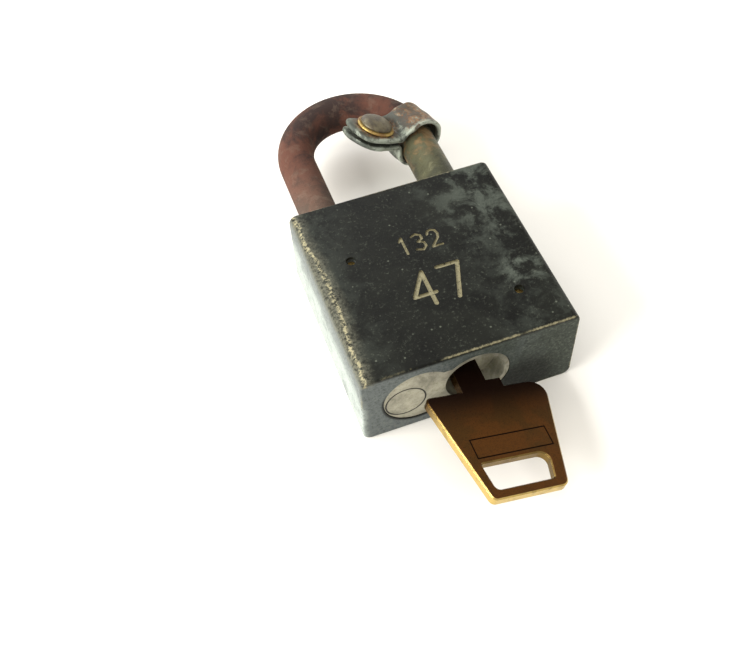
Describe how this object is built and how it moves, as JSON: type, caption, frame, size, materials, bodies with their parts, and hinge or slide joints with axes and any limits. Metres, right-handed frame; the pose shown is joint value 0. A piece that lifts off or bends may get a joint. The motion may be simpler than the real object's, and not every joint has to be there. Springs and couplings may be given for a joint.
{
  "type": "padlock",
  "caption": "Solid steel block padlock with a thick rusted shackle, a riveted chain clevis on one leg and its brass key in the offset cylinder at the bottom.",
  "frame": {"origin": "middle of the back face that the padlock lies on", "axes": "+X from the toe leg to the heel leg, +Y from the key end towards the shackle, +Z out of the stamped front face"},
  "size_m": [0.0508, 0.1274, 0.0222],
  "materials": {
    "body_steel": "dark phosphate oxide, mottled and rubbed bare on the edges",
    "rusty_steel": "red-brown rust, rubbed olive-grey metal on the heel leg",
    "nickel_plate": "dull pale nickel plate, stained",
    "bright_steel": "hardened and ground",
    "spring_steel": "drawn wire",
    "brass": "turned, tarnished",
    "key_brass": "dark tarnished faces, bright rubbed edges",
    "zinc_strap": "zinc plate with orange rust",
    "rivet_steel": "brown-grey patina"
  },
  "bodies": {
    "lock_case": {"lock_body": "body_steel", "cylinder_housing": "nickel_plate", "pin_chamber_cap": "brass", "pin_springs": "spring_steel", "driver_pins": "brass", "cylinder_screw": "bright_steel", "screw_hole_disc": "nickel_plate", "screw_lock_pin": "brass", "spring_stop_pin": "brass", "spring_seat": "bright_steel", "shackle_spring": "spring_steel", "ball_hole_plug": "body_steel"},
    "plug": {"plug": "nickel_plate", "plug_clip": "spring_steel", "actuator": "bright_steel", "key_pins": "brass"},
    "key": {"key": "key_brass"},
    "shackle": {"shackle": "rusty_steel"},
    "toe_ball": {"toe_ball": "bright_steel"},
    "heel_ball": {"heel_ball": "bright_steel"},
    "clevis": {"clevis_strap": "zinc_strap", "clevis_rivet": "rivet_steel", "clevis_washer": "brass"}
  },
  "joints": [
    {"name": "plug_turn", "type": "hinge", "parent": "lock_case", "child": "plug", "pos_m": [0.0012, 0, 0.01111], "axis": [0, 1, 0], "range_deg": [0, 90]},
    {"name": "key_slide", "type": "slide", "parent": "plug", "child": "key", "axis": [0, -1, 0], "range_m": [0, 0.03]},
    {"name": "shackle_lift", "type": "slide", "parent": "lock_case", "child": "shackle", "axis": [0, 1, 0], "range_m": [0, 0.014], "deforming": ["shackle_spring"]},
    {"name": "toe_ball_slide", "type": "slide", "parent": "lock_case", "child": "toe_ball", "axis": [1, 0, 0], "range_m": [0, 0.0036]},
    {"name": "heel_ball_slide", "type": "slide", "parent": "lock_case", "child": "heel_ball", "axis": [-1, 0, 0], "range_m": [0, 0.0006]},
    {"name": "clevis_swing", "type": "hinge", "parent": "shackle", "child": "clevis", "pos_m": [0.01497, 0.05354, 0.01111], "axis": [-0.2756, 0.9613, 0], "continuous": true}
  ],
  "couplings": [
    {"joint": "plug_turn", "follows": "shackle_lift", "rad_per_m": 112.19},
    {"joint": "toe_ball_slide", "follows": "shackle_lift", "ratio": 0.2571},
    {"joint": "heel_ball_slide", "follows": "shackle_lift", "ratio": 0.0428}
  ]
}
